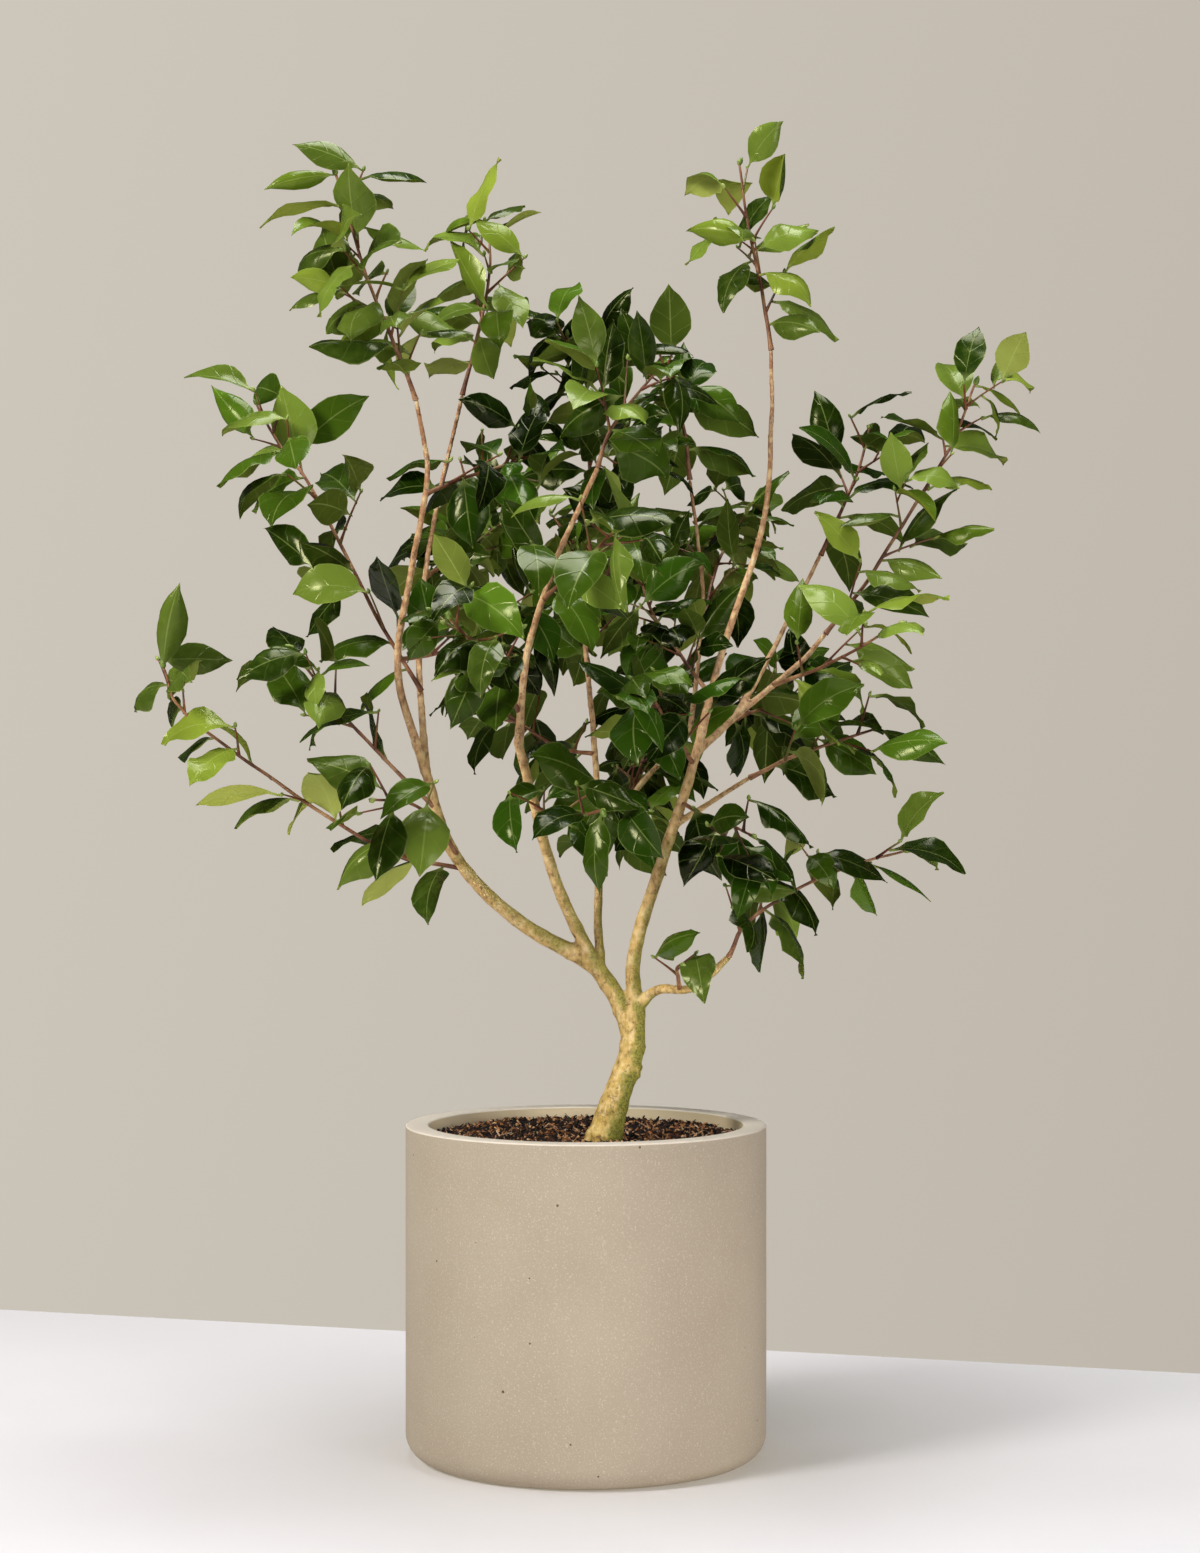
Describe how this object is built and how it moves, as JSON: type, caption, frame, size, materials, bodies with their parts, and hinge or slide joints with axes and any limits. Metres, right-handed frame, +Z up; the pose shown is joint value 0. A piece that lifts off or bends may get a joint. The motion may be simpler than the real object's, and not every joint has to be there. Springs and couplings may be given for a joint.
{
  "type": "camellia shrub in a pot",
  "caption": "Evergreen camellia shrub with one short leaning trunk, bare forking limbs and an open leafy crown, rooted in a straight-sided round pot.",
  "frame": {"origin": "centre of the pot's flat underside", "axes": "+Z up; -Y towards the side the plant is mostly looked at from; +X to the right of that side"},
  "size_m": [0.9206, 0.7753, 1.3289],
  "materials": {
    "pot": "matt unglazed beige with fine pale speckle",
    "potting_mix": "dark loose bark and fibre",
    "old_bark": "yellow-tan bark with green algae",
    "young_bark": "smooth tan bark",
    "foliage": "glossy dark green leaves, paler beneath"
  },
  "bodies": {
    "root": {"back_bough": "young_bark", "back_centre_spray": "foliage", "back_leader": "young_bark", "back_left_low_spray": "foliage", "back_left_spray": "foliage", "back_low_spray": "foliage", "back_right_bough": "young_bark", "back_right_leader": "young_bark", "back_right_low_spray": "foliage", "back_right_spray": "foliage", "centre_bough": "young_bark", "centre_inner_spray": "foliage", "centre_leader": "young_bark", "centre_low_spray": "foliage", "crown_front_spray": "foliage", "crown_inner_spray": "foliage", "crown_right_spray": "foliage", "crown_top_spray": "foliage", "front_centre_spray": "foliage", "front_left_spray": "foliage", "front_right_spray": "foliage", "inner_left_spray": "foliage", "inner_low_spray": "foliage", "left_bough": "old_bark", "left_fork": "old_bark", "left_hanging_spray": "foliage", "left_leader": "young_bark", "left_low_spray": "foliage", "left_mid_spray": "foliage", "left_second": "young_bark", "left_upper_spray": "foliage", "pot": "pot", "right_bough": "young_bark", "right_front_low_spray": "foliage", "right_inner_spray": "foliage", "right_leader_high": "young_bark", "right_leader_low": "young_bark", "right_low_bough": "young_bark", "right_low_spray": "foliage", "right_low_tuft": "foliage", "right_mid_bough": "young_bark", "right_mid_spray": "foliage", "right_middle_spray": "foliage", "right_second": "young_bark", "right_upper_spray": "foliage", "soil": "potting_mix", "top_left_inner_spray": "foliage", "top_left_spray": "foliage", "top_right_spray": "foliage", "trunk": "old_bark"}
  },
  "joints": []
}
